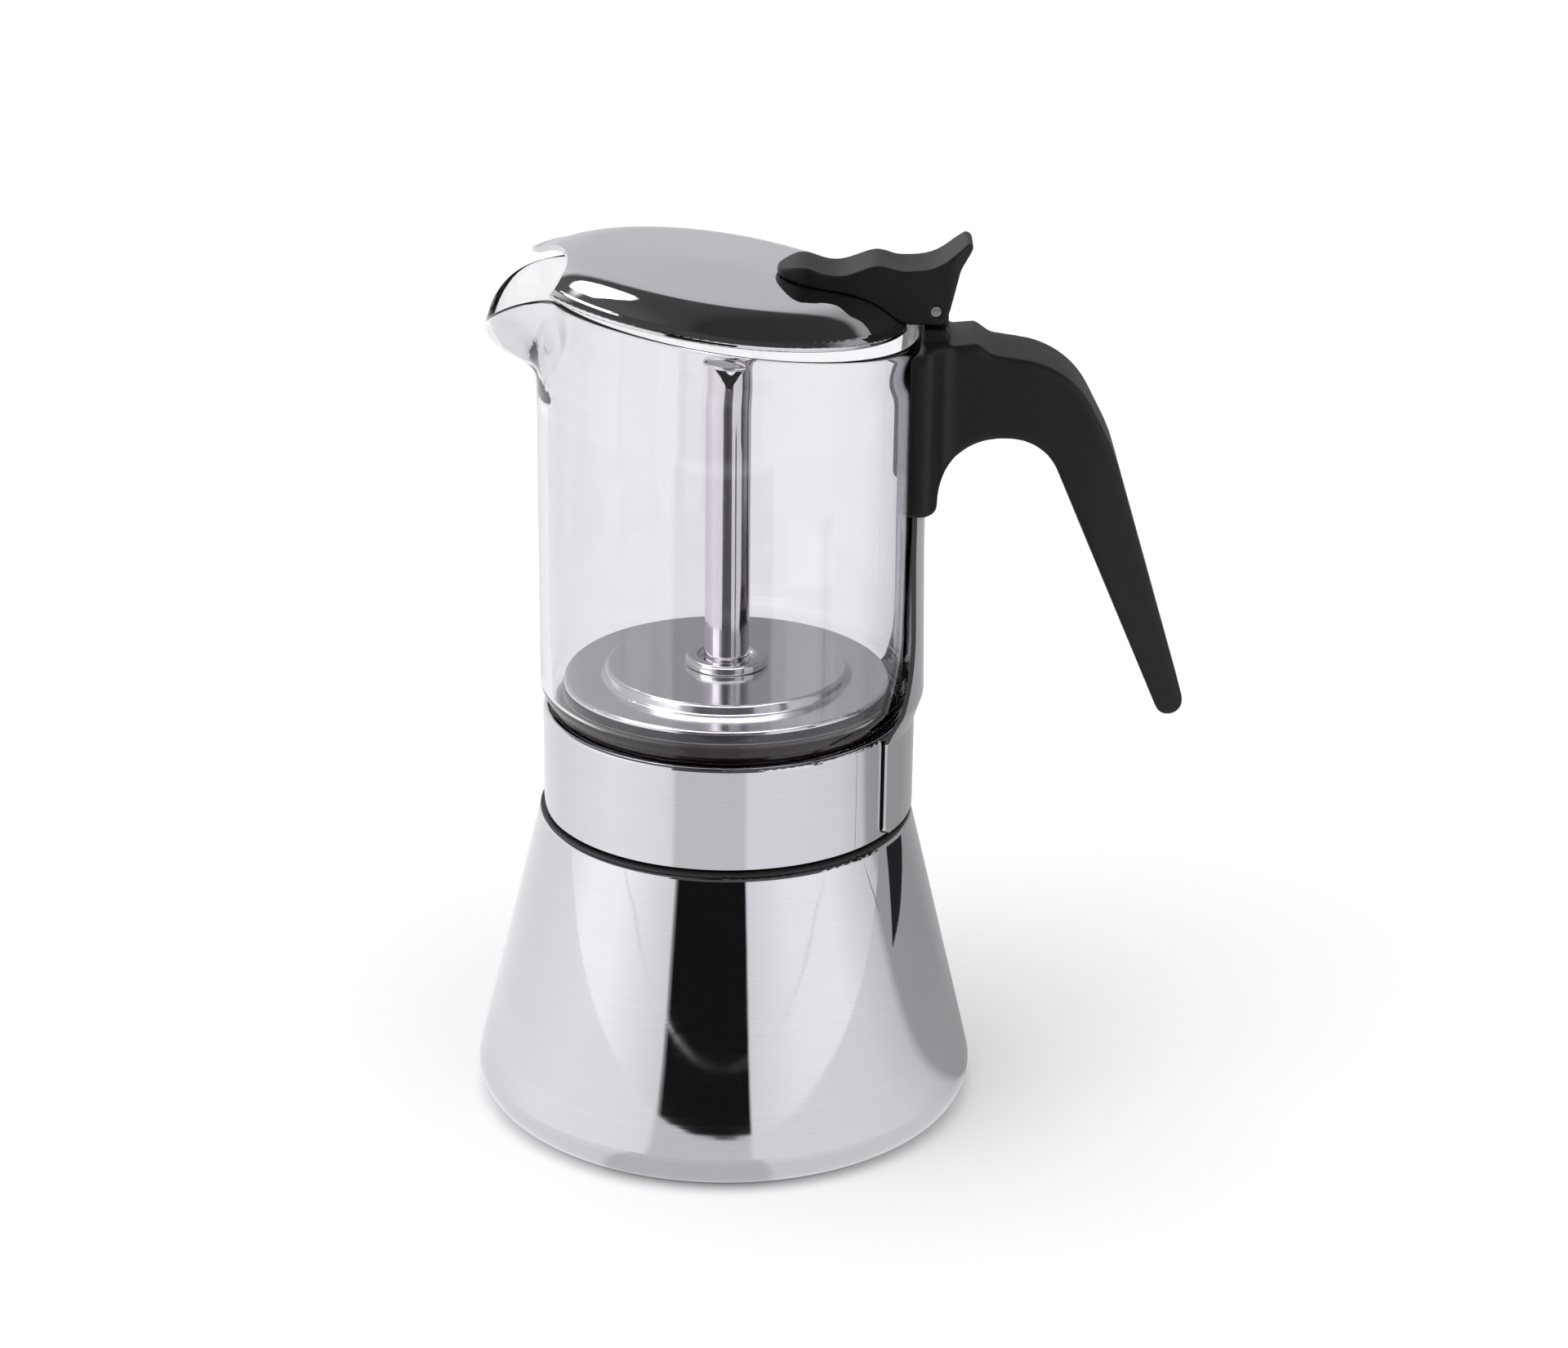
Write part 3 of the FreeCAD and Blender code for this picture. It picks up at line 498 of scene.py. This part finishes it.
FLOOR_EDGE = 4.0
FLOOR_CORNERS = [(sx * FLOOR_EDGE, sy * FLOOR_EDGE, 0.0) for sx, sy in ((-1, -1), (1, -1), (1, 1), (-1, 1))]
stage_plane("floor", FLOOR_CORNERS, matt("floor", (0.88,) * 3, (0.9,) * 3))


def at(degrees):
    """Place on a ramp of turns from -Y towards +X."""
    return (degrees + 180.0) / 360.0


def level(value):
    return (value * 0.5, value * 0.495, value * 0.51)


def turn_of(tree, vector):
    x, y, z = tree.split(vector)
    azimuth = tree.math("ARCTAN2", x, tree.math("MULTIPLY", y, -1.0))
    return tree.remap(azimuth, -math.pi, math.pi, 0.0, 1.0)


GAP_A0, GAP_A1 = -26.5, 13.0
# brightness of the studio round the pot; the dark gap is between two softboxes, the right side is in shade
AROUND = (
    (-180, 0.68), (-170, 0.74), (-150, 1.12), (-110, 1.05), (-78, 1.38), (-60, 1.36), (-40, 1.10),
    (-27.2, 0.95), (GAP_A0, 0.01), (GAP_A1, 0.01), (13.6, 0.98), (38, 1.2), (62, 1.22), (74, 1.06),
    (94, 0.80), (99, 0.50), (125, 0.42), (160, 0.40), (170, 0.64), (180, 0.68),
)
# the table as the steel sees it: the gap's reflection starts beyond its front edge
NEAR = (
    (-180, 0.95), (-110, 1.02), (-70, 1.16), (-40, 1.10), (-29, 1.04), (-27, 0.78), (12, 0.78), (14, 1.0),
    (45, 1.0), (70, 0.96), (88, 0.80), (93, 0.46), (125, 0.40), (160, 0.50), (180, 0.80),
)
TABLE_EDGE, EDGE_BLUR = 0.5, 0.004
TABLE_HOLE, TABLE_REACH, TABLE_LIFT = 0.0475, 3.9, 0.0004


def table_card():
    """Glowing ring on the table, seen only in the steel's reflections."""
    material, tree, colour = reflected_card("table_card")
    place = tree.node("ShaderNodeTexCoord").outputs["Object"]
    azimuth = turn_of(tree, place)
    reach = tree.node("ShaderNodeVectorMath", operation="LENGTH")
    tree.feed(reach.inputs[0], place)
    near = tree.ramp(azimuth, [(at(a), level(v)) for a, v in NEAR])
    far = tree.ramp(azimuth, [(at(a), level(v)) for a, v in AROUND])
    beyond = tree.remap(reach.outputs["Value"], TABLE_EDGE - EDGE_BLUR, TABLE_EDGE + EDGE_BLUR, 0.0, 1.0)
    # painted shadow: the card darkens close to the pot, the table's shade round the base as the steel
    # reflects it
    base = tree.remap(reach.outputs["Value"], 0.05, 0.10, 0.86, 1.0, smooth=True)
    shade = tree.node("ShaderNodeMix", data_type="RGBA", blend_type="MULTIPLY")
    shade.inputs[0].default_value = 1.0
    tree.feed(shade.inputs[6], tree.mix(beyond, near, far))
    tree.feed(shade.inputs[7], tree.join(base, base, base))
    tree.feed(colour, shade.outputs[2])
    count = 96
    verts = []
    for r in (TABLE_HOLE, TABLE_REACH):
        for i in range(count):
            turn = 2 * math.pi * i / count
            verts.append((r * math.cos(turn), r * math.sin(turn), TABLE_LIFT))
    faces = [(i, count + i, count + (i + 1) % count, (i + 1) % count) for i in range(count)]
    mesh = bpy.data.meshes.new("table_card")
    mesh.from_pydata(verts, [], faces)
    mesh.materials.append(material)
    card = bpy.data.objects.new("table_card", mesh)
    bpy.context.scene.collection.objects.link(card)
    only_in_reflections(card)


def flat_card(name, corners, material):
    only_in_reflections(stage_plane(name, corners, material))


# softbox that makes the lid's highlight: where it hangs, how far from the lid, and its half-widths
LAMP_AIM = (-0.21, 0.54, 0.65)
LAMP_AWAY, LID_HEIGHT = 1.5, 0.17
LAMP_AXES = (0.24, 0.24)


def lamp_card():
    """Oval softbox high behind the pot's left shoulder, the lid's bright highlight."""
    material, tree, colour = reflected_card("lamp_card")
    aim = Vector(LAMP_AIM).normalized()
    middle = Vector((0.0, 0.0, LID_HEIGHT)) + aim * LAMP_AWAY
    across = aim.cross(Vector((0.0, 0.0, 1.0))).normalized()
    down = aim.cross(across).normalized()
    place = tree.node("ShaderNodeTexCoord").outputs["Object"]
    from_middle = tree.node("ShaderNodeVectorMath", operation="SUBTRACT")
    tree.feed(from_middle.inputs[0], place)
    from_middle.inputs[1].default_value = middle
    reach = []
    for axis, size in zip((across, down), LAMP_AXES):
        along = tree.node("ShaderNodeVectorMath", operation="DOT_PRODUCT")
        tree.feed(along.inputs[0], from_middle.outputs[0])
        along.inputs[1].default_value = axis / size
        reach.append(along.outputs["Value"])
    oval = tree.node("ShaderNodeVectorMath", operation="LENGTH")
    tree.feed(oval.inputs[0], tree.join(reach[0], reach[1], 0.0))
    glow = tree.remap(oval.outputs["Value"], 0.80, 1.0, 2.4, 0.08, smooth=True)
    tree.feed(colour, tree.join(glow, glow, glow))
    count = 48
    corners = []
    for i in range(count):
        turn = 2 * math.pi * i / count
        side, height = LAMP_AXES[0] * math.cos(turn), LAMP_AXES[1] * math.sin(turn)
        corners.append(middle + across * side + down * height)
    flat_card("lamp_card", corners, material)


def flag_card():
    """Black flag lying on the table to the right, a dark sliver in the boiler."""
    material, tree, colour = reflected_card("flag_card")
    tree.feed(colour, (0.012, 0.012, 0.013, 1.0))
    lift = 0.001
    flat_card("flag_card", [(0.31, 0.028, lift), (0.50, 0.25, lift), (0.19, 0.24, lift)], material)


def upright_flag(name, tone, left, right, low, high):
    """Upright dark flag in front of the pot, seen only in reflections, between two (x, y) points."""
    material, tree, colour = reflected_card(name)
    tree.feed(colour, (tone, tone, tone * 1.04, 1.0))
    flat_card(name, [(*left, low), (*right, low), (*right, high), (*left, high)], material)


table_card()
lamp_card()
flag_card()
# the dark middle of the tube's reflections; painted shade: a black sheet beside the strap's lower edge, whose
# reflection makes the slit between strap and collar read dark; and a dark sheet that darkens the strap's edge
# above the collar
upright_flag("tube_flag", 0.05, (-0.037, -0.08), (0.034, -0.08), 0.068, 0.130)
upright_flag("slit_shade_flag_low", 0.004, (0.029, -0.026), (0.0321, -0.026), 0.050, 0.084)
upright_flag("edge_flag_high", 0.04, (0.033, -0.040), (0.042, -0.040), 0.084, 0.128)


def studio_world():
    world = bpy.data.worlds.new("studio")
    world.use_nodes = True
    bpy.context.scene.world = world
    tree = Tree(world.node_tree)
    background = tree.nodes["Background"]
    direction = tree.node("ShaderNodeTexCoord").outputs["Generated"]
    around = tree.ramp(turn_of(tree, direction), [(at(a), level(v)) for a, v in AROUND])
    height = tree.remap(tree.split(direction)[2], -1.0, 1.0, 0.0, 1.0)
    ceiling = ((0.0, 1.0), (0.765, 1.0), (0.79, 0.12), (1.0, 0.10))
    high = tree.ramp(height, [(place, (tone,) * 3) for place, tone in ceiling])
    made = tree.node("ShaderNodeMix", data_type="RGBA", blend_type="MULTIPLY")
    made.inputs[0].default_value = 1.0
    tree.feed(made.inputs[6], around)
    # seen through the glass, the ceiling is pale, so the jug's edges stay thin and light
    path = tree.node("ShaderNodeLightPath").outputs
    through_glass = tree.math("MULTIPLY", tree.math("GREATER_THAN", path["Transmission Depth"], 0.5),
                              tree.math("LESS_THAN", path["Diffuse Depth"], 0.5))
    tree.feed(made.inputs[7], tree.mix(through_glass, high, (0.55,) * 3))
    tree.feed(background.inputs["Color"], made.outputs[2])
    background.inputs["Strength"].default_value = 2.0


studio_world()


def area(name, place, target, size, power):
    light = bpy.data.lights.new(name, "AREA")
    light.shape = "RECTANGLE"
    light.size, light.size_y = size
    light.energy = power
    made = bpy.data.objects.new(name, light)
    made.location = place
    made.rotation_mode = "QUATERNION"
    made.rotation_quaternion = (Vector(target) - Vector(place)).to_track_quat("-Z", "Y")
    bpy.context.scene.collection.objects.link(made)
    made.visible_glossy = False
    made.visible_camera = False


sky = bpy.data.lights.new("sky", "SUN")
sky.angle = math.radians(75.0)
sky.energy = 2.7
sky_lamp = bpy.data.objects.new("sky", sky)
sky_lamp.rotation_euler = (math.radians(8.0), math.radians(-4.0), 0.0)
sky_lamp.visible_glossy = False
bpy.context.scene.collection.objects.link(sky_lamp)
area("left_soft", (-1.1, -0.7, 0.8), (0, 0, 0.09), (0.9, 0.9), 3.0)

# ---------------------------------------------------------------- camera
# degrees: tilt up from straight down, turn about the vertical, roll about the line of sight
TILT, TURN, ROLL = 69.002, 0.4945, 0.764
camera = bpy.data.cameras.new("camera")
camera.lens = 80.29
camera.sensor_width = 36.0
eye = bpy.data.objects.new("camera", camera)
eye.location = (0.0173, -0.6604, 0.3441)
eye.rotation_mode = "QUATERNION"
turned = Euler((math.radians(TILT), 0.0, math.radians(TURN))).to_quaternion()
eye.rotation_quaternion = turned @ Euler((0.0, 0.0, math.radians(ROLL))).to_quaternion()
bpy.context.scene.collection.objects.link(eye)
bpy.context.scene.camera = eye
bpy.context.scene.view_settings.view_transform = "Standard"
